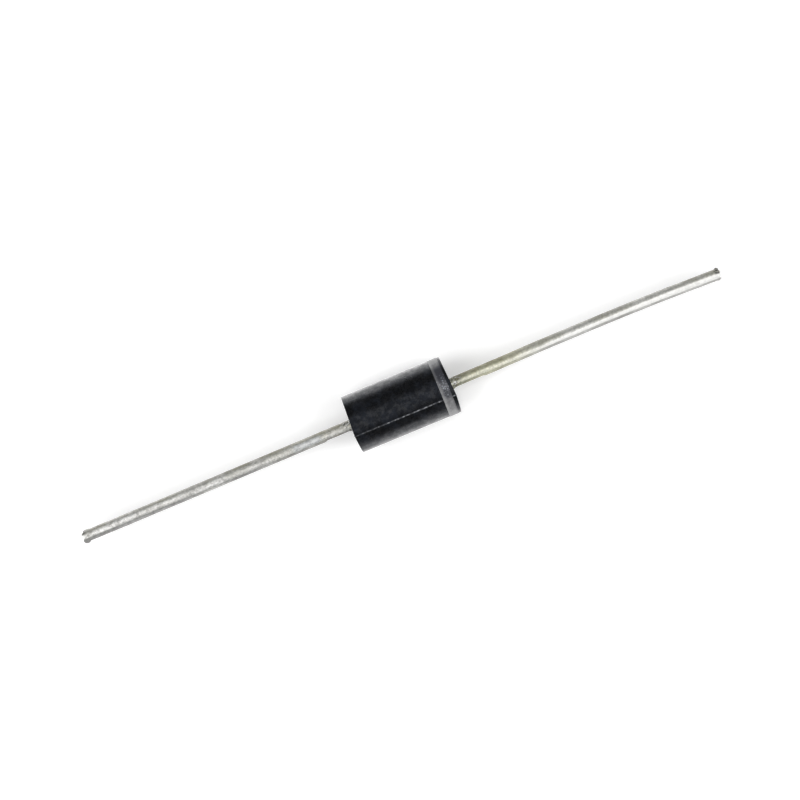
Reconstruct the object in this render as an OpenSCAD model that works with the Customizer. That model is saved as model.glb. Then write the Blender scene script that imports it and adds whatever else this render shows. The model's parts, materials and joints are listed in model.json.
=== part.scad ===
// Axial barrier rectifier: a chip between two nail-headed wire leads, moulded into a cylindrical case.
// The origin is the middle of the case. +X runs along the leads to the banded cathode end, +Z is up.

/* [Case] */
// Diameter of the moulded case
case_d = 5.2; // [4.4:0.1:6.4]
// Length of the case at its parting plane
case_len = 9.5; // [7:0.1:12]
// Draft of the end faces, falling away from the parting plane on both sides, in degrees
end_draft = 3; // [1:0.5:7]
// Break of the edge round each end face
edge_break = 0.04; // [0.02:0.01:0.15]
// Turn of the parting plane about the leads, in degrees from upright
parting_turn = 24; // [0:1:180]

/* [Mould marks] */
// Thickness of the flash that the mould leaves along its parting plane
flash_t = 0.1; // [0.04:0.01:0.2]
// Height of the flash above the case
flash_h = 0.03; // [0.01:0.005:0.06]
// Length of the scar where the gate was broken off
gate_len = 1.2; // [0.6:0.1:2.4]
// Thickness of the gate scar across the parting plane
gate_t = 0.36; // [0.25:0.01:0.6]
// Height of the gate scar above the case
gate_h = 0.05; // [0.02:0.01:0.1]

/* [Cathode band] */
// Width of the printed band
band_w = 0.85; // [0.5:0.05:1.5]
// Bare strip between the band and the edge of the end face
band_gap = 0.18; // [0.04:0.01:0.5]
// Thickness of the band's ink
ink_t = 0.03; // [0.02:0.005:0.06]

/* [Leads] */
// Diameter of the lead wire
lead_d = 1.02; // [0.7:0.02:1.4]
// Length of each lead outside the case
lead_len = 25.4; // [10:0.1:32]
// Slope of the sheared tip of each lead, in degrees
tip_shear = 9; // [0:1:20]
// Diameter of the nail head that faces the chip
head_d = 2.6; // [2:0.1:3.2]
// Thickness of the nail head
head_t = 0.45; // [0.3:0.05:0.7]
// Length of the cone under the nail head
flare_len = 0.5; // [0.2:0.05:0.8]
// How much thicker than the wire the tapered neck is where it meets that cone
neck_swell = 0.4; // [0.3:0.05:0.5]
// How deep below the case's end the neck reaches the wire's own diameter
neck_cover = 0.05; // [0.02:0.01:0.12]

/* [Chip] */
// Side of the square chip
die_w = 1.8; // [1:0.1:2.2]
// Thickness of the chip
die_t = 0.28; // [0.2:0.02:0.4]
// Thickness of each solder joint
solder_t = 0.06; // [0.04:0.01:0.1]
// Diameter of the solder under the whole chip, on the cathode side
cathode_solder_d = 2.3; // [1.4:0.1:3]
// Diameter of the solder on the chip's contact, on the anode side
anode_solder_d = 1.4; // [0.8:0.1:2]

/* [Hidden] */
$fn = 96;
case_r = case_d / 2;
case_half = case_len / 2;
lead_r = lead_d / 2;
// Longer than the case, for shapes that are trimmed to it
reach = 2 * case_len;
// How far the draft sets the end face back where it is furthest from the parting plane
draft_drop = case_r * tan(end_draft);
band_end = case_half - draft_drop - edge_break - band_gap;
band_start = band_end - band_w;
die_face = die_t / 2;
head_face = die_face + solder_t;
neck_start = head_face + head_t + flare_len;
neck_end = case_half - neck_cover;
tip = case_half + lead_len;
// Turns of the sheared tips about the leads
cathode_tip_turn = 90;
anode_tip_turn = 180;

// Lays a shape that stands on Z along the leads, toward the cathode
module along_cathode() {
    rotate([0, 90, 0]) children();
}

// Lays a shape that stands on Z along the leads, toward the anode
module along_anode() {
    rotate([0, -90, 0]) children();
}

// Turns a shape from the mould, whose parting plane is upright, to the part
module from_mould() {
    rotate([parting_turn, 0, 0]) children();
}

// One drafted end face with its broken edge, as the cone that trims the case to it
module drafted_end() {
    face_r = case_r - edge_break;
    translate([case_half, 0, 0])
        rotate([0, 0, end_draft])
            along_anode()
                cylinder(h = reach, r1 = face_r, r2 = face_r + reach);
}

// The half of the case that one half of the mould forms
module case_half_form() {
    intersection() {
        along_cathode() cylinder(h = reach, r = case_r, center = true);
        translate([-reach / 2, 0, -case_r]) cube([reach, case_r, case_d]);
        drafted_end();
        mirror([1, 0, 0]) drafted_end();
    }
}

// The plate of flash in the parting plane, with room for a layer of ink over it
module flash_plate(over = 0) {
    x = case_half + flash_h + over;
    z = case_r + flash_h + over;
    corner = [[x, z - edge_break], [x - edge_break, z]];
    rotate([90, 0, 0])
        linear_extrude(height = flash_t + 2 * over, center = true)
            polygon([
                corner[0], corner[1],
                [-corner[1].x, corner[1].y], [-corner[0].x, corner[0].y],
                -corner[0], -corner[1],
                [corner[1].x, -corner[1].y], [corner[0].x, -corner[0].y]
            ]);
}

// The scar on the parting line, on the underside
module gate_scar() {
    translate([-gate_len / 2, -gate_t / 2, -case_r - gate_h])
        cube([gate_len, gate_t, case_r]);
}

// The whole moulding, before it is hollowed round what it holds
module case_form() {
    from_mould() {
        case_half_form();
        mirror([0, 1, 0]) case_half_form();
        flash_plate();
        gate_scar();
    }
}

// A lead standing on Z, from the face of its nail head to its sheared tip
module lead_form(tip_turn) {
    difference() {
        rotate_extrude()
            polygon([
                [0, head_face],
                [head_d / 2, head_face],
                [head_d / 2, head_face + head_t],
                [lead_r + neck_swell / 2, neck_start],
                [lead_r, neck_end],
                [lead_r, tip],
                [0, tip]
            ]);
        rotate([0, 0, tip_turn])
            translate([0, lead_r, tip])
                rotate([tip_shear, 0, 0])
                    translate([-lead_d, -3 * lead_d, 0])
                        cube([2 * lead_d, 4 * lead_d, lead_d]);
    }
}

// A round solder joint standing on Z, on one face of the chip
module solder_form(d) {
    translate([0, 0, die_face]) cylinder(h = solder_t, d = d);
}

module moulded_case() {
    color("#1d1e20")
        difference() {
            case_form();
            cathode_lead();
            anode_lead();
            silicon_die();
            cathode_solder();
            anode_solder();
        }
}

module cathode_band() {
    color("#8d8d89")
        difference() {
            from_mould()
                intersection() {
                    union() {
                        along_cathode() cylinder(h = case_len, r = case_r + ink_t, center = true);
                        flash_plate(ink_t);
                    }
                    translate([band_start, -case_d, -case_d])
                        cube([band_w, 2 * case_d, 2 * case_d]);
                }
            case_form();
        }
}

module cathode_lead() {
    color("#c4c3bd") along_cathode() lead_form(cathode_tip_turn);
}

module anode_lead() {
    color("#c4c3bd") along_anode() lead_form(anode_tip_turn);
}

module silicon_die() {
    color("#5a6270") cube([die_t, die_w, die_w], center = true);
}

module cathode_solder() {
    color("#a9abab") along_cathode() solder_form(cathode_solder_d);
}

module anode_solder() {
    color("#a9abab") along_anode() solder_form(anode_solder_d);
}

moulded_case();
cathode_band();
cathode_lead();
anode_lead();
silicon_die();
cathode_solder();
anode_solder();
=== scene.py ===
"""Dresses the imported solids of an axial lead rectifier: moulding, printed band, tinned leads and stage."""

import json
import math
from collections import namedtuple

import bmesh
import bpy
from bpy.props import FloatProperty, FloatVectorProperty, IntProperty, PointerProperty
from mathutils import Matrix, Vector, noise


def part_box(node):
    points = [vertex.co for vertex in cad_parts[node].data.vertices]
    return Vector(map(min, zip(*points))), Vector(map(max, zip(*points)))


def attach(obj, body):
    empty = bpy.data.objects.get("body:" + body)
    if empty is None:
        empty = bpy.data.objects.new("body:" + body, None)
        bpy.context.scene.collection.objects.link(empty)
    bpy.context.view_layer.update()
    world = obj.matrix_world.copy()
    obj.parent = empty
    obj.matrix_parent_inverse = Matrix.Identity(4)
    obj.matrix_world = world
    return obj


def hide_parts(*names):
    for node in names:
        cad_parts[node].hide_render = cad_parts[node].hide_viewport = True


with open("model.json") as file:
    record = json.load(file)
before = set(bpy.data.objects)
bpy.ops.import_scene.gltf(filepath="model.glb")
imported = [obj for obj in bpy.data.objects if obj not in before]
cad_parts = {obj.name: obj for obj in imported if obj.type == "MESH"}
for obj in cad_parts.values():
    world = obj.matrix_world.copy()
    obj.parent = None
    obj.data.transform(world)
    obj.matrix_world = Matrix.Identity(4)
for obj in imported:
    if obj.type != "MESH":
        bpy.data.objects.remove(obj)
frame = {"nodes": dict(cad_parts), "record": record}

bl_info = {
    "name": "Axial rectifier",
    "version": (1, 0, 0),
    "blender": (4, 5, 0),
    "location": "3D View > Sidebar > Rectifier",
    "description": "Builds the moulding, band, leads and stage of an axial lead rectifier",
    "category": "Object",
}

MM = 0.001
# Points closer than this are one point
NEAR = 1e-7
# Edges that turn by more than this are shaded sharp
SHARP_ANGLE = math.radians(35)
BODY = "root"
# Attribute of a lead that keeps each place as it is on a straight wire
STRAIGHT = "straight_wire"

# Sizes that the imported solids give
PIN = next(mount for mount in frame["record"]["mounts"] if mount["name"] == "cathode_pin")
WIRE_RADIUS = PIN["dims"]["r_mm"] * MM
WIRE_LENGTH = PIN["dims"]["length_mm"] * MM
CASE_END = PIN["pos_m"][0] - WIRE_LENGTH / 2
WIRE_TIP = CASE_END + WIRE_LENGTH
CASE_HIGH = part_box("moulded_case")[1]
BAND_LOW, BAND_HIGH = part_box("cathode_band")
HEAD_LOW, HEAD_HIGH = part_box("cathode_lead")
CHIP_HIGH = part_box("silicon_die")[1]
CATHODE_SOLDER_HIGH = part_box("cathode_solder")[1]
ANODE_SOLDER_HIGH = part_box("anode_solder")[1]

# How a lead was sheared off: the side left longest and its slope, the side that rolled over and how far,
# the side where the cutter squeezed out a burr, its reach and length, and the marks torn into the end
Tip = namedtuple("Tip", "long_side slope roll_side roll burr_side burr burr_len marks")
# A torn mark: its place in the section, how far it sets the end back, and its reach
Mark = namedtuple("Mark", "place depth reach")
SHEAR_SLOPE = math.tan(math.radians(9))
CATHODE_TIP = Tip(
    long_side=Vector((0, 1)), slope=SHEAR_SLOPE, roll_side=Vector((-0.8, 0.6)), roll=0.16 * MM,
    burr_side=Vector((0.97, 0.24)), burr=0.11 * MM, burr_len=0.3 * MM,
    marks=(
        Mark(Vector((-0.42, 0.24)) * MM, -0.12 * MM, 0.16 * MM),
        Mark(Vector((0.36, 0.34)) * MM, 0.22 * MM, 0.14 * MM),
    ),
)
ANODE_TIP = Tip(
    long_side=Vector((-1, 0)), slope=SHEAR_SLOPE, roll_side=Vector((0.92, 0.4)), roll=0.08 * MM,
    burr_side=Vector((-0.97, 0.24)), burr=0.12 * MM, burr_len=0.55 * MM,
    marks=(
        Mark(Vector((-0.02, 0.5)) * MM, 0.4 * MM, 0.24 * MM),
        Mark(Vector((0.24, 0.36)) * MM, -0.14 * MM, 0.16 * MM),
        Mark(Vector((0.5, 0.1)) * MM, 0.26 * MM, 0.22 * MM),
        Mark(Vector((-0.5, 0.1)) * MM, 0.16 * MM, 0.2 * MM),
    ),
)
# The burr: its share that is squeezed out on the opposite side, how far off the middle both start, as a
# share of the radius, where they are full and where they thin, as shares of their length, and how much
BURR_OPPOSITE = 0.5
BURR_START = 0.35
BURR_FULL = 0.6
BURR_THIN_FROM = 0.4
BURR_THIN = 0.7
# The flat that trimming the flash scraped on the lower side of each lead: its depth, how far out of the
# case it starts, over what length it runs out, and its reach on the two leads
FLAT_DEPTH = 0.08 * MM
FLAT_START = 0.1 * MM
FLAT_RUN_OUT = 0.25 * MM
CATHODE_FLAT = 3.1 * MM
ANODE_FLAT = 2.6 * MM
# The ragged flash: cells to the metre of its waves and its beads, a shift that keeps the two apart, its mean
# height as a share of the greatest, what waves and beads add to it at most, and the least that is left
FLASH_WAVE_CELLS = 900
FLASH_BEAD_CELLS = 4200
FLASH_BEAD_SHIFT = Vector((7.0, 3.0, 1.0))
FLASH_MEAN = 0.6
FLASH_WAVES = 0.45
FLASH_BEADS = 0.5
FLASH_LEAST = 0.12
# The rough top of the gate scar: cells to the metre, and the share of its height that is uneven
GATE_CELLS = 5200
GATE_UNEVEN = 0.35
# Beyond this share of the case's radius a face belongs to its skin
SKIN_SHARE = 0.9
# The uneven wire: cells to the metre along it, round it and of its slow wobble, the stretch out of the case
# over which this sets in, and a shift of the cells for each lead
WIRE_CELLS_ALONG = 450
WIRE_CELLS_ROUND = 900
WOBBLE_CELLS = 160
UNEVEN_START = 0.1 * MM
UNEVEN_FULL = 1.5 * MM
CATHODE_SHIFT = 0.0
ANODE_SHIFT = 40.0
# How strongly a lead's bow acts at its root, and how much more at its tip
BOW_AT_ROOT = 0.5
BOW_GROWTH = 0.8
# Where the painted highlight on the anode lead is strongest, and where the lead is bluish, as distances out
# of the case
HIGHLIGHT_PLACE = 13.2 * MM
BLUISH_PLACE = 4.1 * MM
# How far the edge of the painted shade on the cathode lead's lower flank shifts for each length of lead
EDGE_SLOPE = 0.0075
# Index of refraction of the moulding and the ink
SKIN_IOR = 1.7
# Up to this height of a direction the surroundings fade to their brightness above
OVERHEAD_FROM = 0.62
# A square soft light: its name, its place and its side
Softbox = namedtuple("Softbox", "name place side")
TOP_BOX = Softbox("top_box", Vector((0, -0.035, 0.5)), 0.56)
CATHODE_BOX = Softbox("cathode_box", Vector((0.32, -0.13, 0.34)), 0.32)
ANODE_BOX = Softbox("anode_box", Vector((-0.32, 0.015, 0.34)), 0.32)


def length(name, description, default):
    """A setting that is a length."""
    return FloatProperty(name=name, description=description, default=default, unit="LENGTH", precision=6)


def angle(name, description, degrees):
    """A setting that is an angle, given in degrees."""
    return FloatProperty(name=name, description=description, default=math.radians(degrees), subtype="ANGLE")


def colour(name, description, default):
    """A setting that is a colour."""
    return FloatVectorProperty(
        name=name, description=description, default=default, subtype="COLOR", size=3, min=0, max=1,
    )


def share(name, description, default):
    """A setting from 0 to 1."""
    return FloatProperty(name=name, description=description, default=default, subtype="FACTOR", min=0, max=1)


def number(name, description, default):
    """A setting that is a plain number."""
    return FloatProperty(name=name, description=description, default=default)


class CaseSettings(bpy.types.PropertyGroup):
    """Form and finish of the moulded case."""

    radius: length("Radius", "Radius of the case", CASE_HIGH.z)
    half: length("Half length", "From the middle to an end at the parting plane", CASE_END)
    edge_round: length("Edge round", "Round of the edge of each end face", 0.04 * MM)
    draft: angle("Draft", "Slope of the end faces away from the parting plane", 3)
    parting_turn: angle("Parting turn", "Turn of the parting plane about the leads", 24)
    flash_width: length("Flash width", "Width of the flash on the parting line", 0.1 * MM)
    flash_height: length("Flash height", "Greatest height of the flash", CASE_HIGH.x - CASE_END)
    gate_len: length("Gate length", "Length of the scar left by the gate", 1.2 * MM)
    gate_width: length("Gate width", "Width of the scar left by the gate", 0.36 * MM)
    gate_height: length("Gate height", "Height of the scar left by the gate", 0.05 * MM)
    columns: IntProperty(name="Columns", description="Faces round the case", default=120)
    step: length("Step", "Length of a face along the case", 0.05 * MM)
    resin: colour("Resin", "Colour of the moulding compound", (0.005, 0.0052, 0.0056))
    bloom: colour("Bloom", "Colour of its pale blotches", (0.0095, 0.011, 0.0142))
    flash: colour("Flash", "Colour of the rubbed flash", (0.26, 0.268, 0.284))
    gloss: colour("Gloss", "Tint of what the skin mirrors when seen straight on", (0.125, 0.139, 0.175))
    skin: share("Skin", "How much of a glossy skin the smoothest patches have", 0.42)
    roughness: share("Roughness", "Roughness of the moulded skin", 0.28)


class BandSettings(bpy.types.PropertyGroup):
    """Form and finish of the printed band."""

    start: length("Start", "Where the band starts along the leads", BAND_LOW.x)
    end: length("End", "Where the band ends along the leads", BAND_HIGH.x)
    ink: length("Ink", "Thickness of the ink", BAND_HIGH.z - CASE_HIGH.z)
    bead: length("Bead", "Width of the thicker edge of the print", 0.3 * MM)
    # Also the colour of the painted sheen on the flanks of the band
    dense_ink_and_rim_sheen: colour("Dense ink", "Colour of the ink where it covers", (0.335, 0.335, 0.335))
    thin: colour("Thin ink", "Colour of the ink where the case shows through", (0.042, 0.043, 0.051))
    speck: colour("Specks", "Colour of the pale specks in the ink", (0.45, 0.48, 0.54))
    roughness: share("Roughness", "Roughness of the ink", 0.42)


class LeadSettings(bpy.types.PropertyGroup):
    """Form and finish of the two tinned leads."""

    radius: length("Radius", "Radius of the wire", WIRE_RADIUS)
    root: length("Root", "Where the wire leaves the case", CASE_END)
    tip: length("Tip", "Where the wire ends", WIRE_TIP)
    head_face: length("Head face", "Where the nail head faces the chip", HEAD_LOW.x)
    head_radius: length("Head radius", "Radius of the nail head", HEAD_HIGH.y)
    head_depth: length("Head depth", "Thickness of the nail head", 0.45 * MM)
    flare: length("Flare", "Length of the cone under the head", 0.5 * MM)
    swell: length("Swell", "How much the radius of the neck grows inside the case", 0.2 * MM)
    cover: length("Cover", "How deep in the case the neck starts to grow", 0.05 * MM)
    cathode_bow: length("Cathode bow", "Bow of the cathode lead at its middle", 0.15 * MM)
    cathode_drop: length("Cathode drop", "How far its tip is bent the other way", 0.085 * MM)
    anode_bow: length("Anode bow", "Bow of the anode lead at its middle", -0.06 * MM)
    anode_drop: length("Anode drop", "How far the tip of the anode lead is bent aside", 0.11 * MM)
    waver: length("Waver", "Unevenness of the drawn wire", 0.008 * MM)
    rim_round: length("Rim round", "Round of the rim of the wire's end", 0.03 * MM)
    columns: IntProperty(name="Columns", description="Faces round the wire", default=48)
    end_cuts: IntProperty(name="End cuts", description="Cuts across half of the wire's end", default=6)
    step: length("Step", "Length of a face along the wire", 0.12 * MM)
    tin: colour("Tin", "Colour of the tinning", (0.7, 0.698, 0.668))
    # Bright tin, also the colour of the painted highlights along the top and the lower flank of the leads
    bright: colour("Bright tin", "Colour of its burnished streaks", (0.98, 0.98, 0.96))
    # Colour of the painted shade on the flanks of the leads, and of their pits
    dull: colour("Dull tin", "Colour of the oxide on its flanks", (0.275, 0.27, 0.25))
    # Olive tint of the painted shade on the flanks
    olive: colour("Olive tin", "Colour of the oxide where it is stained", (0.23, 0.224, 0.172))
    # Colour of the painted shade on the lower flank
    grey: colour("Grey tin", "Colour of the oxide on its lower flank", (0.25, 0.25, 0.252))
    cool: colour("Clean tin", "Colour of the clean stretch of the anode lead", (0.6, 0.63, 0.655))
    torn: colour("Torn tin", "Colour of the torn rim of the wire's end", (0.06, 0.058, 0.05))
    core: colour("Core", "Colour of the copper bared at the wire's end", (0.48, 0.3, 0.22))
    tarnish: colour("Tarnish", "Colour of the stain near the case", (0.33, 0.3, 0.185))
    film: colour("Film", "Tint of the thin flux film near the case", (1.0, 0.988, 0.76))
    fleck: colour("Resin flecks", "Colour of the resin specks near the case", (0.03, 0.03, 0.028))
    grit: share("Grit", "How dark the fine grit in the tinning is", 0.27)
    metal: share("Metal", "How much of the tinning shines as bare metal", 0.45)
    roughness: share("Roughness", "Roughness of the tinning", 0.42)


class ChipSettings(bpy.types.PropertyGroup):
    """Finish of the sealed chip and its solder."""

    silicon: colour("Silicon", "Colour of the chip", (0.11, 0.12, 0.14))
    sawn: colour("Sawn silicon", "Colour of the saw marks on its sides", (0.2, 0.21, 0.23))
    metal: colour("Contact metal", "Colour of the chip's contact faces", (0.6, 0.6, 0.58))
    solder: colour("Solder", "Colour of the solder", (0.42, 0.42, 0.43))
    grains: colour("Solder grains", "Colour of the grains in its frozen skin", (0.6, 0.6, 0.6))


class StageSettings(bpy.types.PropertyGroup):
    """Camera, floor and lights."""

    height: length("Camera height", "Camera above the leads", 192 * MM)
    view_width: length("View width", "Width of the picture at the leads", 69.94 * MM)
    roll: angle("Roll", "Turn of the leads in the picture", 22.5)
    off_x: length("Offset along", "Camera's place along the leads", 0.073 * MM)
    off_y: length("Offset across", "Camera's place across the leads", 0.397 * MM)
    floor: colour("Floor", "Colour of the floor", (0.82, 0.82, 0.82))
    clouds: colour("Floor clouds", "Colour of the floor's faint clouds", (0.8, 0.8, 0.8))
    floor_lift: share("Floor lift", "Glow that brings the seen floor to white", 0.32)
    shade_lift: share("Shade lift", "Glow that thins the shadow behind and beside the case", 0.08)
    mirror_lift: share("Mirror lift", "Glow of the floor near the part where it is mirrored", 0.82)
    mirror_reach: length("Mirror reach", "How far from the part that glow ends", 115 * MM)
    floor_size: length("Floor size", "Side of the floor", 6.0)
    horizon: number("Horizon", "Brightness of the surroundings at the horizon", 0.13)
    overhead: number("Overhead", "Brightness of the surroundings above", 0.11)
    top_light: number("Top light", "Brightness of the box above", 1.06)
    cathode_light: number("Cathode light", "Brightness of the box beyond the cathode lead", 2.86)
    anode_light: number("Anode light", "Brightness of the box beyond the anode lead", 4.2)


def smooth_step(value, low, high):
    """0 at low, 1 at high and a smooth change between; low may be the greater."""
    t = min(1.0, max(0.0, (value - low) / (high - low)))
    return t * t * (3 - 2 * t)


def across(co):
    """A point's place in the section across the leads."""
    return Vector((co.y, co.z))


def turned(outline, start, columns, rounded, round_size, fine, closed=False):
    """A bmesh turned about the leads' axis from an outline of points (along, radius).

    start is the direction in the section where the turn starts, rounded the corners that are
    rounded by round_size, and fine a function that gives the number of cuts of an outline's edge.
    """
    shape = bmesh.new()
    points = [shape.verts.new((along, start.x * radius, start.y * radius)) for along, radius in outline]
    for one, other in zip(points, points[1:] + points[:1] if closed else points[1:]):
        shape.edges.new((one, other))
    bmesh.ops.bevel(
        shape, geom=[points[i] for i in rounded], affect="VERTICES", offset=round_size,
        offset_type="OFFSET", segments=4, profile=0.5, material=-1, clamp_overlap=True,
    )
    for edge in list(shape.edges):
        cuts = fine(*(v.co for v in edge.verts))
        if cuts:
            bmesh.ops.subdivide_edges(shape, edges=[edge], cuts=cuts)
    bmesh.ops.spin(
        shape, geom=shape.verts[:] + shape.edges[:], cent=(0, 0, 0), axis=(1, 0, 0), dvec=(0, 0, 0),
        angle=2 * math.pi, steps=columns, use_merge=True,
    )
    bmesh.ops.remove_doubles(shape, verts=shape.verts, dist=NEAR)
    bmesh.ops.recalc_face_normals(shape, faces=shape.faces)
    return shape


def cut(shape, place, normal, geom=None, **clear):
    """Cuts a bmesh, or some of it, by a plane."""
    bmesh.ops.bisect_plane(
        shape, geom=geom or shape.verts[:] + shape.edges[:] + shape.faces[:],
        dist=NEAR, plane_co=place, plane_no=normal, **clear,
    )


def add_piece(name, shape, material, node):
    """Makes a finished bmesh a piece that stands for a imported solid."""
    mesh = bpy.data.meshes.new(name)
    shape.to_mesh(mesh)
    shape.free()
    mesh.shade_smooth()
    mesh.set_sharp_from_angle(angle=SHARP_ANGLE)
    mesh.materials.append(material)
    piece = bpy.data.objects.new(name, mesh)
    bpy.context.scene.collection.objects.link(piece)
    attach(piece, BODY)
    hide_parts(node)


def parting_axes(case):
    """The directions that lie in the parting plane and across it, both square to the leads."""
    turn = case.parting_turn
    return Vector((0, -math.sin(turn), math.cos(turn))), Vector((0, math.cos(turn), math.sin(turn)))


def cavity(lead):
    """The outline of the hollow round the leads and the chip, from the anode end to the cathode end."""
    head_back = lead.head_face + lead.head_depth
    neck = head_back + lead.flare
    half_lead = [
        (lead.root - lead.cover, lead.radius),
        (neck, lead.radius + lead.swell),
        (head_back, lead.head_radius),
        (lead.head_face, lead.head_radius),
    ]
    chip_corner = across(CHIP_HIGH).length
    anode = [(-along, radius) for along, radius in half_lead]
    anode += [(-lead.head_face, ANODE_SOLDER_HIGH.y), (-CHIP_HIGH.x, ANODE_SOLDER_HIGH.y)]
    chip = [(-CHIP_HIGH.x, chip_corner), (CHIP_HIGH.x, chip_corner)]
    cathode = [(CHIP_HIGH.x, CATHODE_SOLDER_HIGH.y), (lead.head_face, CATHODE_SOLDER_HIGH.y)]
    return anode + chip + cathode + half_lead[::-1]


def square_off_chip(shape):
    """Squares the round hollow round the chip."""
    corner = across(CHIP_HIGH).length
    for v in shape.verts:
        flat = across(v.co)
        if abs(v.co.x) < CHIP_HIGH.x + NEAR and abs(flat.length - corner) < NEAR:
            flat *= CHIP_HIGH.y / max(abs(flat.x), abs(flat.y))
            v.co.yz = flat


def is_outside(v, case):
    """Whether a vertex lies on the outside of the moulding."""
    return abs(v.co.x) > case.half - NEAR or across(v.co).length > case.radius - case.edge_round - NEAR


def ragged(co):
    """How high the flash stands at a place, from 0 to 1."""
    waves = noise.noise(co * FLASH_WAVE_CELLS)
    beads = noise.noise(co * FLASH_BEAD_CELLS + FLASH_BEAD_SHIFT)
    return min(1.0, max(FLASH_LEAST, FLASH_MEAN + FLASH_WAVES * waves + FLASH_BEADS * beads))


def case_shape(case, lead):
    """The moulding with drafted ends, rounded edges and flash, hollowed round what it holds."""
    in_plane, off_plane = parting_axes(case)
    outside = [
        (case.half, lead.radius), (case.half, case.radius),
        (-case.half, case.radius), (-case.half, lead.radius),
    ]

    def cuts(one, other):
        on_end = min(abs(one.x), abs(other.x)) > case.half - NEAR
        on_wall = min(across(one).length, across(other).length) > case.radius - NEAR
        step = case.step if on_wall else 2 * case.step
        return int((one - other).length / step) if on_end or on_wall else 0

    shape = turned(
        outside + cavity(lead), across(in_plane), case.columns,
        rounded=(1, 2), round_size=case.edge_round, fine=cuts, closed=True,
    )
    square_off_chip(shape)
    outer = [v for v in shape.verts if is_outside(v, case)]
    for v in outer:
        v.co.x *= 1 - abs(v.co @ off_plane) * math.tan(case.draft) / case.half
    for side in (-0.5, 0.5):
        cut(shape, off_plane * case.flash_width * side, off_plane)
    shape.normal_update()
    crest = [v for v in shape.verts if abs(v.co @ off_plane) < NEAR and is_outside(v, case)]
    for v in crest:
        v.co += v.normal * case.flash_height * ragged(v.co)
    return shape


def add_gate_scar(shape, case):
    """Raises the rough scar where the gate was broken off, on the underside."""
    in_plane, off_plane = parting_axes(case)
    half_len, half_width = case.gate_len / 2, case.gate_width / 2

    def near_scar(spare):
        found = []
        for face in shape.faces:
            middle = face.calc_center_median()
            if (
                middle @ in_plane < -SKIN_SHARE * case.radius
                and abs(middle.x) < half_len + spare
                and abs(middle @ off_plane) < half_width + spare
            ):
                found.append(face)
        return found

    along = Vector((1, 0, 0))
    for place, normal in (
        (along * half_len, along), (along * -half_len, along),
        (off_plane * half_width, off_plane), (off_plane * -half_width, off_plane),
    ):
        faces = near_scar(4 * case.step)
        edges = list({edge for face in faces for edge in face.edges})
        verts = list({v for face in faces for v in face.verts})
        cut(shape, place, normal, geom=verts + edges + faces)
    faces = near_scar(0)
    raised = bmesh.ops.extrude_face_region(shape, geom=faces)["geom"]
    bmesh.ops.delete(shape, geom=faces, context="FACES")
    for v in raised:
        if isinstance(v, bmesh.types.BMVert):
            lift = case.gate_height * (1 - GATE_UNEVEN + GATE_UNEVEN * noise.noise(v.co * GATE_CELLS))
            skin = math.sqrt(case.radius**2 - (v.co @ off_plane) ** 2)
            v.co -= in_plane * (skin + lift + v.co @ in_plane)
    bmesh.ops.recalc_face_normals(shape, faces=shape.faces)


def band_shape(case, lead, band):
    """The band: the strip of the case's own skin that is printed, thickened by the ink."""
    shape = case_shape(case, lead)
    along = Vector((1, 0, 0))
    cut(shape, along * band.start, along, clear_inner=True)
    cut(shape, along * band.end, along, clear_outer=True)
    inner = [f for f in shape.faces if across(f.calc_center_median()).length < SKIN_SHARE * case.radius]
    bmesh.ops.delete(shape, geom=inner, context="FACES")
    bmesh.ops.recalc_face_normals(shape, faces=shape.faces)
    skin = shape.faces[:]
    outward = sum(f.normal @ Vector((0, *across(f.calc_center_median()))) for f in skin) > 0
    bmesh.ops.solidify(shape, geom=skin, thickness=-band.ink if outward else band.ink)
    bmesh.ops.recalc_face_normals(shape, faces=shape.faces)
    return shape


def shear_tip(shape, lead, tip):
    """Gives the end of a lead its sheared face, rolled edge, squeezed burr and torn marks."""
    fade = 4 * lead.radius
    for v in shape.verts:
        from_tip = lead.tip - v.co.x
        if from_tip > fade:
            continue
        place = across(v.co)
        flat = place / lead.radius
        short = (1 - flat @ tip.long_side) / 2
        rolled = max(0, flat @ tip.roll_side)
        pull = tip.slope * 2 * lead.radius * short + tip.roll * rolled**3
        v.co.x -= pull * smooth_step(from_tip, fade, 0)
        torn = sum(
            mark.depth * smooth_step((place - mark.place).length, mark.reach, 0) for mark in tip.marks
        )
        v.co.x -= torn * smooth_step(from_tip, 0.5 * fade, 0)
        towards = flat @ tip.burr_side
        reach = tip.burr if towards > 0 else -BURR_OPPOSITE * tip.burr
        rise = smooth_step(from_tip, tip.burr_len, BURR_FULL * tip.burr_len)
        bulge = rise * (1 - BURR_THIN * smooth_step(from_tip, BURR_THIN_FROM * tip.burr_len, 0))
        v.co.yz = place + tip.burr_side * reach * bulge * smooth_step(abs(towards), BURR_START, 1)
        v.co.x = min(v.co.x, lead.tip)


def scrape_flat(shape, lead, reach):
    """Scrapes a shallow flat on the lower side of a lead, from just outside the case to its reach."""
    lowest = FLAT_DEPTH - lead.radius
    for v in shape.verts:
        out = v.co.x - lead.root
        if v.co.y < lowest and FLAT_START < out < reach:
            start = smooth_step(out, FLAT_START, FLAT_START + FLAT_RUN_OUT)
            v.co.y += (lowest - v.co.y) * start * smooth_step(out, reach, reach - FLAT_RUN_OUT)


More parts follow.
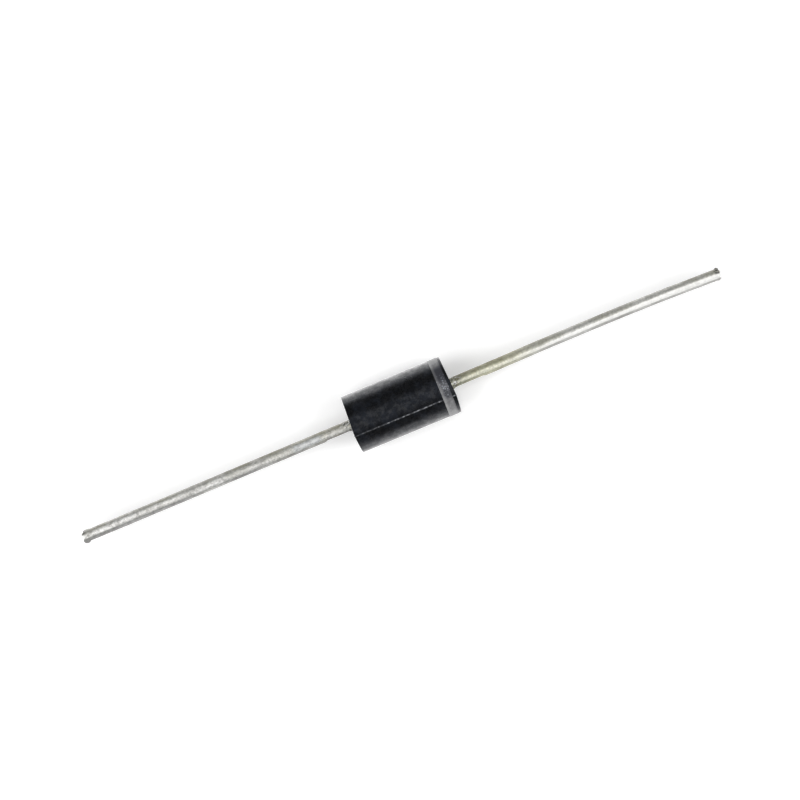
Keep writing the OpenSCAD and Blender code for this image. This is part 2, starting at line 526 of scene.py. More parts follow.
def lead_shape(lead, tip, flat_reach):
    """A straight lead along +X, from the face of its nail head to its sheared tip.

    flat_reach is where its scraped flat ends.
    """
    head_back = lead.head_face + lead.head_depth
    outline = [
        (lead.head_face, 0), (lead.head_face, lead.head_radius), (head_back, lead.head_radius),
        (head_back + lead.flare, lead.radius + lead.swell), (lead.root - lead.cover, lead.radius),
        (lead.tip, lead.radius), (lead.tip, 0),
    ]

    def cuts(one, other):
        on_wire = min(across(one).length, across(other).length) > lead.radius - NEAR
        on_tip = min(one.x, other.x) > lead.tip - NEAR
        outside = max(one.x, other.x) > lead.root
        if on_tip:
            return lead.end_cuts
        return int((one - other).length / lead.step) if on_wire and outside else 0

    shape = turned(
        outline, Vector((0, 1)), lead.columns, rounded=(5,), round_size=lead.rim_round, fine=cuts,
    )
    shear_tip(shape, lead, tip)
    scrape_flat(shape, lead, flat_reach)
    return shape


def bend(shape, lead, bow, drop, shift):
    """Bends a lead outside the case and makes it uneven, and notes each place on the straight wire."""
    straight = shape.verts.layers.float_vector.new(STRAIGHT)
    for v in shape.verts:
        v[straight] = v.co
        out = v.co.x - lead.root
        if out <= 0:
            continue
        t = out / (lead.tip - lead.root)
        flat = across(v.co)
        cell = Vector((v.co.x * WIRE_CELLS_ALONG, *(flat * WIRE_CELLS_ROUND)))
        uneven = noise.noise(cell + Vector((0, 0, shift)))
        wobble = noise.noise(Vector((v.co.x * WOBBLE_CELLS, shift, 0)))
        waver = lead.waver * smooth_step(out, UNEVEN_START, UNEVEN_FULL)
        flat += flat.normalized() * waver * uneven
        bowed = bow * 4 * t * (1 - t) * (BOW_AT_ROOT + BOW_GROWTH * t)
        flat.x += bowed - drop * t**3 + 2 * waver * wobble
        v.co.yz = flat
    bmesh.ops.recalc_face_normals(shape, faces=shape.faces)


class Graph:
    """Short hand for adding and linking the nodes of one tree."""

    def __init__(self, tree):
        self.tree = tree

    def add(self, kind, inputs=None, **settings):
        """Adds a node, with settings on it and values or links on its inputs."""
        node = self.tree.nodes.new(kind)
        for name, value in settings.items():
            setattr(node, name, value)
        for name, value in (inputs or {}).items():
            self.feed(node.inputs[name], value)
        return node

    def feed(self, socket, value):
        """Links a socket to a socket, or sets its value."""
        if isinstance(value, bpy.types.NodeSocket):
            self.tree.links.new(value, socket)
        elif socket.type == "RGBA" and len(value) == 3:
            socket.default_value = (*value, 1)
        else:
            socket.default_value = value

    def math(self, operation, *values):
        """One calculation with one, two or three values."""
        return self.add("ShaderNodeMath", dict(enumerate(values)), operation=operation).outputs[0]

    def product(self, result, *others):
        """The product of two or more values."""
        for value in others:
            result = self.math("MULTIPLY", result, value)
        return result

    def most(self, one, other):
        """The greater of two values."""
        return self.math("MAXIMUM", one, other)

    def off(self, value, middle):
        """How far a value is from a middle, to either side."""
        return self.math("ABSOLUTE", self.math("SUBTRACT", value, middle))

    def vector(self, operation, *values, out="Vector"):
        """One calculation with vectors."""
        return self.add("ShaderNodeVectorMath", dict(enumerate(values)), operation=operation).outputs[out]

    def parts(self, vector):
        """The X, Y and Z of a vector."""
        return self.add("ShaderNodeSeparateXYZ", {"Vector": vector}).outputs[:]

    def span(self, value, low, high, start=0.0, end=1.0):
        """A value between low and high as one between start and end, smoothly."""
        inputs = {"Value": value, "From Min": low, "From Max": high, "To Min": start, "To Max": end}
        return self.add("ShaderNodeMapRange", inputs, interpolation_type="SMOOTHSTEP").outputs[0]

    def mix(self, share_of_second, first, second, blend="MIX"):
        """A colour between two colours."""
        inputs = {0: share_of_second, 6: first, 7: second}
        return self.add("ShaderNodeMix", inputs, data_type="RGBA", blend_type=blend).outputs[2]

    def noise(self, vector, scale, detail=3.0, roughness=0.55):
        """Cloudy noise from 0 to 1."""
        inputs = {"Vector": vector, "Scale": scale, "Detail": detail, "Roughness": roughness}
        return self.add("ShaderNodeTexNoise", inputs).outputs[0]

    def mask(self, group, **inputs):
        """Places a node group and gives its mask."""
        return self.add("ShaderNodeGroup", inputs, node_tree=group).outputs["Mask"]

    def mottle(self, place, scale, low, high):
        """Blotches of two sizes, as a mask."""
        return self.mask(mottle_group(), Vector=place, Scale=scale, Low=low, High=high)

    def streaks(self, place, scale, low, high):
        """Fine lines along the leads, as a mask."""
        return self.mask(streak_group(), Vector=place, Scale=scale, Low=low, High=high)

    def bump(self, height, strength, distance):
        """A normal bent by a height."""
        inputs = {"Height": height, "Strength": strength, "Distance": distance}
        return self.add("ShaderNodeBump", inputs).outputs[0]


class RoundGraph(Graph):
    """The graph of a finish on a round piece. Places across the piece are shares of its radius."""

    def __init__(self, tree, place, radius):
        super().__init__(tree)
        self.place = place
        self.radius = radius
        self.along, self.side, self.height = self.parts(place)

    def sideways(self, low, high, start=0.0, end=1.0):
        """A value that changes between two places across the piece."""
        return self.span(self.side, low * self.radius, high * self.radius, start, end)

    def strip(self, middle, full, none, top=1.0):
        """A strip along the piece, full within one reach of its middle and gone beyond another."""
        off_middle = self.off(self.side, middle * self.radius)
        return self.span(off_middle, full * self.radius, none * self.radius, top, 0.0)


class WireGraph(RoundGraph):
    """The graph of the finish on both leads. Distances out of the case are in millimetres.

    section is a place in the wire's section before it was bent, and side is counted from the middle of the
    painted highlight.
    """

    def __init__(self, tree, place, lead):
        super().__init__(tree, place, lead.radius)
        self.out = self.math("SUBTRACT", self.math("ABSOLUTE", self.along), lead.root)
        self.to_cathode = self.span(self.along, -lead.root, lead.root)
        self.to_anode = self.math("SUBTRACT", 1.0, self.to_cathode)
        straight = self.add("ShaderNodeAttribute", attribute_name=STRAIGHT).outputs["Vector"]
        self.section = self.vector("MULTIPLY", straight, (0, 1, 1))
        # How far the painted highlight and the painted shade are shifted across each lead
        cathode_top = self.outward(6, 16, 0.54 * self.radius, 0.37 * self.radius)
        off_top = self.by_lead(0.05 * self.radius, cathode_top)
        self.side = self.math("ADD", self.parts(self.section)[1], off_top)
        self.lines = self.streaks(place, 5200, 0.36, 0.66)
        self.patches = self.mottle(place, 520, 0.36, 0.62)
        self.cloud = self.noise(place, 620, 4, 0.65)
        self.highlight_stretch = self.stretch(HIGHLIGHT_PLACE, 1.0, 2.2)

    def by_lead(self, anode, cathode):
        """One value on the anode lead and another on the cathode lead."""
        return self.span(self.to_cathode, 0.0, 1.0, anode, cathode)

    def outward(self, low, high, start, end):
        """A value that changes between two distances out of the case."""
        return self.span(self.out, low * MM, high * MM, start, end)

    def to_tip(self, low, high):
        """A mask that sets in between two distances from the wire's end."""
        return self.span(self.out, WIRE_LENGTH - low * MM, WIRE_LENGTH - high * MM)

    def stretch(self, middle, full, none, top=1.0):
        """A stretch of the anode lead, full within one reach of its middle and gone beyond another."""
        mask = self.span(self.off(self.out, middle), full * MM, none * MM, top, 0.0)
        return self.product(mask, self.to_anode)


def new_group(name, vectors, values):
    """An empty node group that makes a mask: its tree, its graph, its inputs and the socket of the mask."""
    tree = bpy.data.node_groups.new(name, "ShaderNodeTree")
    for socket in vectors:
        tree.interface.new_socket(socket, in_out="INPUT", socket_type="NodeSocketVector")
    for socket in values:
        tree.interface.new_socket(socket, in_out="INPUT", socket_type="NodeSocketFloat")
    tree.interface.new_socket("Mask", in_out="OUTPUT", socket_type="NodeSocketFloat")
    graph = Graph(tree)
    return tree, graph, graph.add("NodeGroupInput").outputs, graph.add("NodeGroupOutput").inputs["Mask"]


def mottle_group():
    """The group that makes blotches of two sizes."""
    if "Mottle" in bpy.data.node_groups:
        return bpy.data.node_groups["Mottle"]
    tree, graph, given, mask = new_group("Mottle", ("Vector",), ("Scale", "Low", "High"))
    large = graph.noise(given["Vector"], given["Scale"], 4, 0.6)
    small = graph.noise(given["Vector"], graph.product(given["Scale"], 4.3), 3, 0.6)
    both = graph.math("ADD", graph.product(large, 0.65), graph.product(small, 0.35))
    graph.feed(mask, graph.span(both, given["Low"], given["High"]))
    return tree


def streak_group():
    """The group that makes fine lines along the leads."""
    if "Streaks" in bpy.data.node_groups:
        return bpy.data.node_groups["Streaks"]
    tree, graph, given, mask = new_group("Streaks", ("Vector",), ("Scale", "Low", "High"))
    drawn = graph.vector("MULTIPLY", given["Vector"], (0.03, 1, 1))
    lines = graph.noise(drawn, given["Scale"], 5, 0.65)
    graph.feed(mask, graph.span(lines, given["Low"], given["High"]))
    return tree


def parting_group():
    """The group that makes the line that the mould's parting plane leaves on the outside."""
    if "Parting line" in bpy.data.node_groups:
        return bpy.data.node_groups["Parting line"]
    tree, graph, given, mask = new_group("Parting line", ("Vector", "Across"), ("Reach",))
    off_plane = graph.vector("DOT_PRODUCT", given["Vector"], given["Across"], out="Value")
    full = graph.product(given["Reach"], 0.55)
    none = graph.product(given["Reach"], 1.6)
    graph.feed(mask, graph.span(graph.math("ABSOLUTE", off_plane), full, none, 1.0, 0.0))
    return tree


def new_material(name):
    """A material with its graph, its shader's inputs and the place on the object."""
    material = bpy.data.materials.new(name)
    material.use_nodes = True
    graph = Graph(material.node_tree)
    shader = material.node_tree.nodes["Principled BSDF"].inputs
    place = graph.add("ShaderNodeTexCoord").outputs["Object"]
    return material, graph, shader, place


def resin_material(case):
    """Satin black moulding compound with a pale bloom, scuffs and rubbed flash."""
    material, graph, shader, place = new_material("moulding_resin")
    bloom = graph.mottle(place, 1100, 0.44, 0.62)
    skin = graph.mottle(place, 1900, 0.44, 0.6)
    scuff = graph.streaks(place, 9000, 0.64, 0.74)
    off_plane = parting_axes(case)[1]
    line = graph.mask(parting_group(), Vector=place, Across=off_plane, Reach=case.flash_width / 2)
    beads = graph.span(graph.noise(place, 3000, 4, 0.65), 0.42, 0.64, 0.12, 1.0)
    along = graph.parts(place)[0]
    beads = graph.product(beads, graph.span(along, -0.8 * case.half, -0.1 * case.half, 0.6, 1.0))
    grain = graph.noise(place, 14000, 2)
    tone = graph.mix(bloom, case.resin, case.bloom)
    tone = graph.mix(graph.product(scuff, 0.35), tone, case.bloom)
    graph.feed(shader["Base Color"], graph.mix(graph.product(line, beads), tone, case.flash))
    rough = graph.math("ADD", graph.product(bloom, 0.1), graph.product(grain, 0.08))
    graph.feed(shader["Roughness"], graph.math("ADD", rough, case.roughness - 0.04))
    graph.feed(shader["Coat Weight"], graph.product(skin, case.skin))
    graph.feed(shader["Coat Roughness"], case.roughness)
    graph.feed(shader["IOR"], SKIN_IOR)
    graph.feed(shader["Specular Tint"], case.gloss)
    height = graph.math("ADD", grain, graph.product(bloom, 1.5))
    graph.feed(shader["Normal"], graph.bump(height, 0.35, 0.004 * MM))
    return material


def ink_cover(ink, band, spots):
    """How well the ink covers: denser toward both flanks, a painted sheen of the grazing rims, thin on top,
    thicker along its inner edge.
    """
    # Denser ink toward both flanks paints the sheen of the grazing rims, most on the upper flank
    dense_ink_and_rim_sheen = ink.math("ADD", ink.sideways(0.3, -1.25), ink.sideways(0.6, 1.0, 0.0, 1.3))
    blots = ink.mottle(ink.place, 1500, 0.3, 0.7)
    cover = ink.product(dense_ink_and_rim_sheen, ink.span(blots, 0.0, 1.0, 0.65, 1.3))
    crest = ink.product(ink.strip(0.03, 0.05, 0.32, 0.2), ink.span(spots, 0.35, 0.65, 0.3, 1.2))
    cover = ink.math("ADD", cover, crest)
    bead = ink.span(ink.along, band.start + 0.3 * band.bead, band.start + band.bead, 0.22, 0.0)
    fade = ink.span(ink.along, band.end - 0.7 * band.bead, band.end, 1.0, 0.6)
    return ink.product(ink.math("ADD", cover, bead), fade)


def ink_dots(ink):
    """Pale dots of ink of uneven strength on the thin side of the top, as a mask."""
    cells = ink.add("ShaderNodeTexVoronoi", {"Vector": ink.place, "Scale": 6600}).outputs
    chance = ink.add("ShaderNodeSeparateColor", {"Color": cells["Color"]}).outputs[0]
    dots = ink.product(ink.span(cells["Distance"], 0.52, 0.22), ink.span(chance, 0.25, 0.9))
    return ink.product(ink.product(ink.sideways(0.55, -0.02), ink.sideways(-0.42, -0.22)), dots)


def ink_material(case, band):
    """Thin matt ink, speckled where it has rubbed off."""
    material, graph, shader, place = new_material("band_ink")
    ink = RoundGraph(graph.tree, place, case.radius)
    spots = ink.noise(place, 9500, 3, 0.6)
    past_bead = ink.span(ink.along, band.start + 0.4 * band.bead, band.start + 1.4 * band.bead)
    gap = ink.product(ink.strip(-0.24, 0.08, 0.22), past_bead)
    cover = ink.product(ink_cover(ink, band, spots), ink.span(gap, 0.0, 1.0, 1.0, 0.6))
    bare = ink.product(gap, ink.span(spots, 0.52, 0.38))
    tone = ink.mix(cover, band.thin, band.dense_ink_and_rim_sheen)
    tone = ink.mix(ink.product(ink_dots(ink), 0.6), tone, band.speck)
    ink.feed(shader["Base Color"], ink.mix(ink.product(bare, 0.85), tone, band.thin))
    grain = ink.noise(place, 9000, 3)
    rough = ink.span(grain, 0.2, 0.8, band.roughness - 0.1, band.roughness + 0.12)
    ink.feed(shader["Roughness"], rough)
    ink.feed(shader["IOR"], SKIN_IOR)
    ink.feed(shader["Specular Tint"], case.gloss)
    ink.feed(shader["Normal"], ink.bump(ink.math("ADD", grain, cover), 0.4, 0.005 * MM))
    return material


def wire_painted_highlight(wire):
    """A painted highlight along the top of the wire, strong on the cathode lead and patchy on the anode
    lead, as a mask.
    """
    radius = wire.radius
    full = wire.by_lead(0.16 * radius, wire.outward(14, 22, 0.3 * radius, 0.4 * radius))
    none = wire.by_lead(0.58 * radius, wire.outward(14, 22, 0.5 * radius, 0.62 * radius))
    highlight = wire.span(wire.math("ABSOLUTE", wire.side), full, none, 1.0, 0.0)
    anode_share = wire.math("MULTIPLY_ADD", wire.highlight_stretch, 0.8, wire.span(wire.patches, 0.0, 1.0, 0.05, 0.35))
    cathode_share = wire.span(wire.patches, 0.0, 1.0, 0.8, 1.0)
    highlight = wire.product(highlight, wire.by_lead(anode_share, cathode_share))
    whole_from = wire.by_lead(24 * MM, 12 * MM)
    return wire.product(highlight, wire.span(wire.out, 0.0, whole_from, wire.by_lead(0.2, 0.45), 1.0))


def wire_upper_flank(wire):
    """Painted shade on the upper flank, lighter at its rim on the anode lead, as a mask."""
    radius = wire.radius
    start = wire.by_lead(0.15 * radius, 0.3 * radius)
    end = wire.by_lead(0.85 * radius, wire.outward(3, 6, 1.2 * radius, 0.85 * radius))
    share_along = wire.by_lead(0.88, wire.outward(2, 9, 0.95, 0.66))
    upper = wire.product(wire.span(wire.side, start, end), share_along)
    rim = wire.most(wire.outward(13, 17, 0.0, 0.44), wire.outward(5, 9, 0.22, 0.0))
    rim = wire.product(rim, wire.to_anode, wire.sideways(0.66, 0.92))
    return wire.product(upper, wire.math("SUBTRACT", 1.0, rim))


def wire_lower_flank(wire):
    """Painted shade on the lower flank, whose edge shifts along both leads, as a mask."""
    radius = wire.radius
    near_edge = wire.outward(1, 5, 0.46 * radius, 0.56 * radius)
    far_edge = wire.outward(8, 22, 0.56 * radius, 0.4 * radius)
    anode_edge = wire.math("MINIMUM", near_edge, far_edge)
    cathode_edge = wire.math("MULTIPLY_ADD", wire.out, EDGE_SLOPE, wire.outward(1, 4, -0.1 * radius, 0.0))
    below = wire.math("ADD", wire.side, wire.by_lead(anode_edge, cathode_edge))
    anode_share = wire.span(wire.highlight_stretch, 0.0, 1.0, wire.outward(1.2, 3.2, 0.98, 0.82), 0.55)
    return wire.span(below, 0.15 * radius, -0.05 * radius, 0.0, wire.by_lead(anode_share, 0.7))


def wire_flanks(wire, lower):
    """Cloudy painted shade on both flanks, and a thin veil of the same dark tone all round the anode lead,
    as a mask.
    """
    both = wire.most(wire_upper_flank(wire), lower)
    flanks = wire.product(both, wire.span(wire.cloud, 0.35, 0.62, 0.8, 1.1))
    veil = wire.product(wire.outward(3, 7, 0.25, 0.42), wire.to_anode, wire.outward(9, 24, 1.0, 0.0))
    return wire.most(flanks, veil)


def tinned_tone(wire, lead, highlight, flanks, lower):
    """The tinning with its bright lines, the painted highlight along its top, painted shade on its flanks, a
    painted highlight along the lower flank, and pits.
    """
    tone = wire.mix(wire.product(wire.lines, wire.patches), lead.tin, lead.bright)
    tone = wire.mix(highlight, tone, lead.bright)
    # Painted shade on the flanks: olive-tinted where cloudy, grey on the lower flank
    painted_flank_shade = wire.mix(wire.span(wire.cloud, 0.44, 0.62), lead.dull, lead.olive)
    tone = wire.mix(flanks, tone, wire.mix(lower, painted_flank_shade, lead.grey))
    # A painted highlight in a strip along the lower flank, on the anode lead
    lower_highlight = wire.product(wire.outward(1.5, 4, 0.65, wire.outward(7, 16, 0.36, 0.0)), wire.to_anode)
    lower_highlight = wire.most(lower_highlight, wire.product(wire.highlight_stretch, 0.6))
    tone = wire.mix(wire.product(lower_highlight, wire.strip(-0.27, 0.1, 0.4)), tone, lead.bright)
    pits = wire.span(wire.noise(wire.place, 2900, 3, 0.6), 0.5, 0.36)
    return wire.mix(wire.product(pits, wire.by_lead(0.5, 0.08)), tone, lead.dull)


def stained_tone(wire, lead, tone, flanks):
    """A tone with the flux film and the stain near the case, and a bluish stretch of the anode lead."""
    film = wire.product(wire.outward(4, 10, 1.0, 0.05), wire.by_lead(0.15, 1.0))
    film = wire.product(film, wire.span(flanks, 0.1, 0.6, 0.62, 1.0))
    tone = wire.mix(film, tone, lead.film, "MULTIPLY")
    blots = wire.mottle(wire.place, 800, 0.4, 0.62)
    stain = wire.product(wire.outward(0, 9, 1.0, 0.0), blots, 0.4)
    tone = wire.mix(stain, tone, lead.tarnish)
    bluish = wire.product(wire.stretch(BLUISH_PLACE, 1.0, 1.7, 0.6), wire.span(flanks, 0.3, 0.6, 1.0, 0.2))
    return wire.mix(bluish, tone, lead.cool)


def sheared_tone(wire, lead, tone):
    """A tone with the torn rim of the wire's end and, on the end, bright metal and dragged copper."""
    radius = wire.radius
    torn = wire.product(wire.to_tip(0.62, 0.3), wire.sideways(0.3, 0.62))
    torn = wire.product(torn, wire.span(wire.noise(wire.place, 3600, 3), 0.36, 0.5), wire.by_lead(0.5, 1.0))
    tone = wire.mix(torn, tone, lead.torn)
    off_axis = wire.vector("LENGTH", wire.section, out="Value")
    inside = wire.product(wire.to_tip(0.9, 0.8), wire.span(off_axis, 0.92 * radius, 0.8 * radius))
    tone = wire.mix(inside, tone, lead.bright)
    drag = wire.noise(wire.vector("MULTIPLY", wire.place, (1, 1, 0.12)), 5200, 3)
    dragged = wire.math("ADD", wire.height, wire.span(drag, 0.3, 0.7, -0.3 * radius, 0.3 * radius))
    bared = wire.product(inside, wire.span(dragged, -0.1 * radius, -0.35 * radius, 0.0, 0.85))
    return wire.mix(bared, tone, lead.core)


def tin_material(lead):
    """Dull tinned wire: draw lines, a painted highlight along its top, painted shade on its flanks, a
    stained root and a torn end.
    """
    material, graph, shader, place = new_material("tinned_wire")
    wire = WireGraph(graph.tree, place, lead)
    highlight = wire_painted_highlight(wire)
    lower = wire_lower_flank(wire)
    flanks = wire_flanks(wire, lower)
    tone = tinned_tone(wire, lead, highlight, flanks, lower)
    tone = stained_tone(wire, lead, tone, flanks)
    tone = sheared_tone(wire, lead, tone)
    littered = wire.product(wire.outward(0.3, 1.2, 1.0, 0.0), wire.sideways(-0.5, 0.4, 0.3, 1.0))
    crumbs = wire.product(littered, wire.span(wire.noise(place, 5200, 2), 0.52, 0.58))
    specks = wire.product(littered, wire.span(wire.noise(place, 4200, 4, 0.7), 0.53, 0.58))
    tone = wire.mix(crumbs, tone, lead.bright)
    tone = wire.mix(specks, tone, lead.fleck)
    grit = wire.span(wire.noise(place, 4600, 3, 0.6), 0.6, 0.38, 0.0, lead.grit)
    off_highlight = wire.span(wire.product(highlight, wire.to_cathode), 0.2, 0.9, 1.0, 0.3)
    wire.feed(shader["Base Color"], wire.mix(wire.product(grit, off_highlight), tone, lead.torn))
    # Less metal where the painted shade and the painted highlight lie
    dull = wire.most(wire.product(flanks, 0.5), wire.product(highlight, 0.85))
    wire.feed(shader["Metallic"], wire.span(wire.most(specks, dull), 0.0, 1.0, lead.metal, 0.0))
    rough = wire.span(wire.patches, 0.0, 1.0, lead.roughness + 0.08, lead.roughness - 0.06)
    wire.feed(shader["Roughness"], wire.math("ADD", rough, wire.product(flanks, 0.15)))
    height = wire.math("ADD", wire.product(wire.lines, 0.6), wire.noise(place, 4200, 3))
    wire.feed(shader["Normal"], wire.bump(height, 0.3, 0.006 * MM))
    return material


def silicon_material(chip):
    """The chip: dark sawn sides and metallised faces."""
    material, graph, shader, place = new_material("chip_silicon")
    off_middle = graph.math("ABSOLUTE", graph.parts(place)[0])
    face = graph.span(off_middle, CHIP_HIGH.x - 0.02 * MM, CHIP_HIGH.x - 0.005 * MM)
    saw = graph.mottle(place, 4000, 0.3, 0.7)
    side = graph.mix(graph.product(saw, 0.4), chip.silicon, chip.sawn)
    graph.feed(shader["Base Color"], graph.mix(face, side, chip.metal))
    graph.feed(shader["Metallic"], face)
    graph.feed(shader["Roughness"], graph.span(saw, 0.0, 1.0, 0.18, 0.34))
    return material


def solder_material(chip):
    """Reflowed solder with a grainy frozen skin."""
    material, graph, shader, place = new_material("chip_solder")
    grains = graph.mottle(place, 5000, 0.35, 0.65)
    graph.feed(shader["Base Color"], graph.mix(grains, chip.solder, chip.grains))
    graph.feed(shader["Metallic"], 1.0)
    graph.feed(shader["Roughness"], graph.span(grains, 0.0, 1.0, 0.32, 0.5))
    graph.feed(shader["Normal"], graph.bump(grains, 0.3, 0.005 * MM))
    return material


def seen_glow(graph, stage, along, behind, away):
    """How much the floor glows to the camera: white far away, and a thinned shadow near the case."""
    shade = graph.product(
        graph.span(graph.math("ABSOLUTE", along), 1.1 * CASE_END, 0.8 * CASE_END, 0.0, stage.shade_lift),
        graph.span(behind, 0.9 * CASE_HIGH.z, 1.05 * CASE_HIGH.z),
    )
    beside = graph.product(
        graph.span(along, CASE_END, 1.15 * CASE_END, 0.0, stage.shade_lift),
        graph.span(behind, -0.2 * CASE_HIGH.z, -0.45 * CASE_HIGH.z),
    )
    far = graph.span(away, stage.mirror_reach, 4 * stage.mirror_reach, stage.floor_lift, 1.0)
    return graph.math("ADD", far, graph.math("ADD", shade, beside))


def floor_material(stage):
    """White floor that keeps the shadow and is seen and mirrored as white."""
    material, graph, shader, place = new_material("floor_white")
    clouds = graph.product(graph.noise(place, 8.0, 2), 0.02)
    graph.feed(shader["Base Color"], graph.mix(clouds, stage.floor, stage.clouds))
    graph.feed(shader["Roughness"], 0.9)
    graph.feed(shader["Specular IOR Level"], 0.0)
    along, behind, _ = graph.parts(place)
    away = graph.vector("LENGTH", place, out="Value")
    path = graph.add("ShaderNodeLightPath").outputs
    seen = graph.product(path["Is Camera Ray"], seen_glow(graph, stage, along, behind, away))
    near = graph.span(away, 0.2 * stage.mirror_reach, stage.mirror_reach, stage.mirror_lift, 0.0)
    # The mirrored glow is stronger behind the case than in front: a painted reflection that brightens the
    # upper rim
    near = graph.product(near, graph.span(behind, -CASE_END, CASE_END, 0.94, 1.65))
    mirrored = graph.product(graph.most(path["Is Glossy Ray"], path["Is Transmission Ray"]), near)
    # Less glow under the case: a painted darker contact shadow, and a darker mirrored floor there
    under = graph.product(
        graph.span(graph.math("ABSOLUTE", along), 1.05 * CASE_END, 0.85 * CASE_END),
        graph.span(graph.math("ABSOLUTE", behind), 0.95 * CASE_HIGH.z, 0.2 * CASE_HIGH.z),
    )
    lift = graph.product(graph.most(seen, mirrored), graph.span(under, 0.0, 1.0, 1.0, 0.15))
    glow = graph.add("ShaderNodeEmission", {"Strength": lift}).outputs[0]
    nodes = material.node_tree.nodes
    both = graph.add("ShaderNodeAddShader", {0: nodes["Principled BSDF"].outputs[0], 1: glow}).outputs[0]
    graph.feed(nodes["Material Output"].inputs["Surface"], both)
    return material


class RECTIFIER_OT_build_case(bpy.types.Operator):
    """Build the moulded case"""

    bl_idname = "rectifier.build_case"
    bl_label = "Build case"

    def execute(self, context):
        case, lead = context.scene.rectifier_case, context.scene.rectifier_lead
        shape = case_shape(case, lead)
        add_gate_scar(shape, case)
        add_piece("case_moulding", shape, resin_material(case), "moulded_case")
        return {"FINISHED"}


class RECTIFIER_OT_build_band(bpy.types.Operator):
    """Build the printed cathode band"""

    bl_idname = "rectifier.build_band"
    bl_label = "Build band"

    def execute(self, context):
        case, lead = context.scene.rectifier_case, context.scene.rectifier_lead
        band = context.scene.rectifier_band
        shape = band_shape(case, lead, band)
        add_piece("band_print", shape, ink_material(case, band), "cathode_band")
        return {"FINISHED"}


class RECTIFIER_OT_build_leads(bpy.types.Operator):
    """Build the two wire leads"""

    bl_idname = "rectifier.build_leads"
    bl_label = "Build leads"

    def execute(self, context):
        lead = context.scene.rectifier_lead
        tin = tin_material(lead)
        cathode = lead_shape(lead, CATHODE_TIP, CATHODE_FLAT)
        bend(cathode, lead, lead.cathode_bow, lead.cathode_drop, CATHODE_SHIFT)
        add_piece("cathode_wire", cathode, tin, "cathode_lead")
        anode = lead_shape(lead, ANODE_TIP, ANODE_FLAT)
        bend(anode, lead, lead.anode_bow, lead.anode_drop, ANODE_SHIFT)
        bmesh.ops.scale(anode, vec=(-1, 1, 1), verts=anode.verts)
        bmesh.ops.recalc_face_normals(anode, faces=anode.faces)
        add_piece("anode_wire", anode, tin, "anode_lead")
        return {"FINISHED"}


class RECTIFIER_OT_finish_chip(bpy.types.Operator):
    """Finish the sealed chip and its solder"""

    bl_idname = "rectifier.finish_chip"
    bl_label = "Finish chip"

    def execute(self, context):
        chip = context.scene.rectifier_chip
        solder = solder_material(chip)
        finishes = {"silicon_die": silicon_material(chip), "cathode_solder": solder, "anode_solder": solder}
        for node, material in finishes.items():
            mesh = frame["nodes"][node].data
            mesh.materials.clear()
            mesh.materials.append(material)
        return {"FINISHED"}


def add_softbox(box, brightness):
    """A square soft light that faces the middle of the part."""
    light = bpy.data.lights.new(box.name, "AREA")
    light.shape = "SQUARE"
    light.size = box.side
    light.energy = brightness * math.pi * box.side**2
    lamp = bpy.data.objects.new(box.name, light)
    lamp.location = box.place
    lamp.rotation_euler = (-box.place).to_track_quat("-Z", "Y").to_euler()
    bpy.context.scene.collection.objects.link(lamp)


def add_world(stage):
    """Grey surroundings, brighter at the horizon than above, that the camera sees as white."""
    world = bpy.data.worlds.new("surroundings")
    world.use_nodes = True
    bpy.context.scene.world = world
    graph = Graph(world.node_tree)
    direction = graph.add("ShaderNodeTexCoord").outputs["Generated"]
    level = graph.span(graph.parts(direction)[2], 0.0, OVERHEAD_FROM, stage.horizon, stage.overhead)
    seen = graph.add("ShaderNodeLightPath").outputs["Is Camera Ray"]
    background = world.node_tree.nodes["Background"].inputs
    graph.feed(background["Strength"], graph.most(level, seen))
    graph.feed(background["Color"], (1, 1, 1))


def add_camera(stage):
    """A camera that looks straight down, turned so that the leads rise to the right."""
    data = bpy.data.cameras.new("camera")
    data.lens = data.sensor_width * stage.height / stage.view_width
    data.clip_start = 0.01
    camera = bpy.data.objects.new("camera", data)
    camera.location = (stage.off_x, stage.off_y, stage.height)
    camera.rotation_euler = (0, 0, -stage.roll)
    bpy.context.scene.collection.objects.link(camera)
    bpy.context.scene.camera = camera


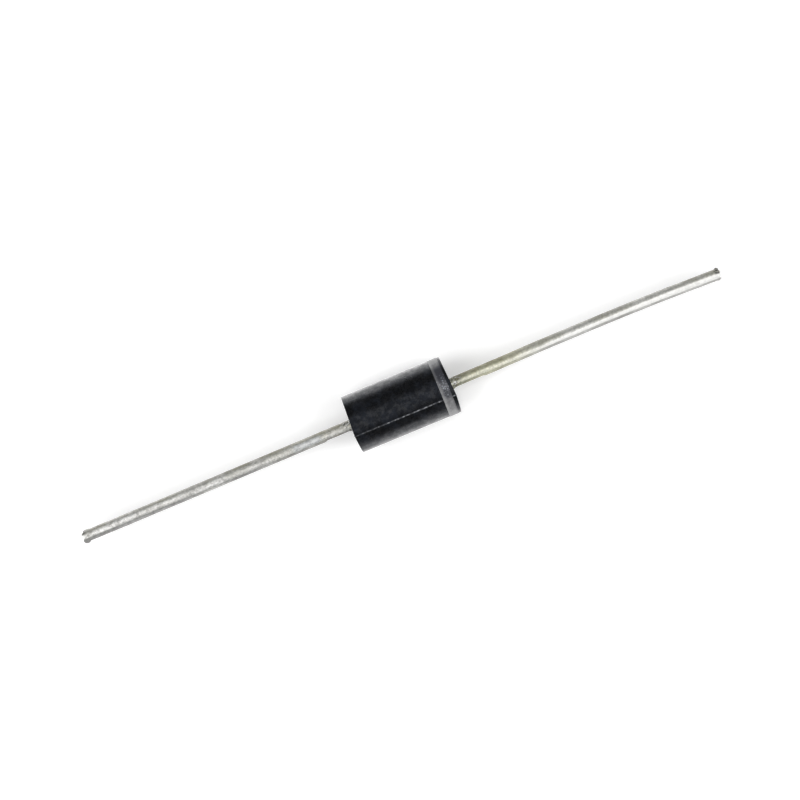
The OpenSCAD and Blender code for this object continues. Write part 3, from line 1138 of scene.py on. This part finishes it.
class RECTIFIER_OT_build_stage(bpy.types.Operator):
    """Build the floor, lights and camera"""

    bl_idname = "rectifier.build_stage"
    bl_label = "Build stage"

    def execute(self, context):
        stage = context.scene.rectifier_stage
        shape = bmesh.new()
        bmesh.ops.create_grid(shape, x_segments=1, y_segments=1, size=stage.floor_size / 2)
        bmesh.ops.translate(shape, verts=shape.verts, vec=(0, 0, -BAND_HIGH.z))
        mesh = bpy.data.meshes.new("floor")
        shape.to_mesh(mesh)
        shape.free()
        mesh.materials.append(floor_material(stage))
        floor = bpy.data.objects.new("floor", mesh)
        context.scene.collection.objects.link(floor)
        add_world(stage)
        add_softbox(TOP_BOX, stage.top_light)
        add_softbox(CATHODE_BOX, stage.cathode_light)
        add_softbox(ANODE_BOX, stage.anode_light)
        add_camera(stage)
        context.scene.view_settings.view_transform = "Standard"
        return {"FINISHED"}


BUILD_OPERATORS = (
    RECTIFIER_OT_build_case,
    RECTIFIER_OT_build_band,
    RECTIFIER_OT_build_leads,
    RECTIFIER_OT_finish_chip,
    RECTIFIER_OT_build_stage,
)
SETTINGS = {
    "rectifier_case": CaseSettings,
    "rectifier_band": BandSettings,
    "rectifier_lead": LeadSettings,
    "rectifier_chip": ChipSettings,
    "rectifier_stage": StageSettings,
}


class VIEW3D_PT_rectifier(bpy.types.Panel):
    """Settings and steps of the rectifier"""

    bl_idname = "VIEW3D_PT_rectifier"
    bl_label = "Rectifier"
    bl_space_type = "VIEW_3D"
    bl_region_type = "UI"
    bl_category = "Rectifier"

    def draw(self, context):
        for operator in BUILD_OPERATORS:
            self.layout.operator(operator.bl_idname)
        for pointer in SETTINGS:
            box = self.layout.box()
            group = getattr(context.scene, pointer)
            for name in group.bl_rna.properties.keys():
                if name not in ("rna_type", "name"):
                    box.prop(group, name)


CLASSES = (*SETTINGS.values(), *BUILD_OPERATORS, VIEW3D_PT_rectifier)


def register():
    """Adds the classes and the scene's settings."""
    for cls in CLASSES:
        bpy.utils.register_class(cls)
    for pointer, group in SETTINGS.items():
        setattr(bpy.types.Scene, pointer, PointerProperty(type=group))


def unregister():
    """Removes the scene's settings and the classes."""
    for pointer in SETTINGS:
        delattr(bpy.types.Scene, pointer)
    for cls in reversed(CLASSES):
        bpy.utils.unregister_class(cls)


def main():
    """Builds every piece and the stage."""
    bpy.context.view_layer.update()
    register()
    bpy.ops.rectifier.build_case()
    bpy.ops.rectifier.build_band()
    bpy.ops.rectifier.build_leads()
    bpy.ops.rectifier.finish_chip()
    bpy.ops.rectifier.build_stage()


if __name__ == "__main__":
    main()
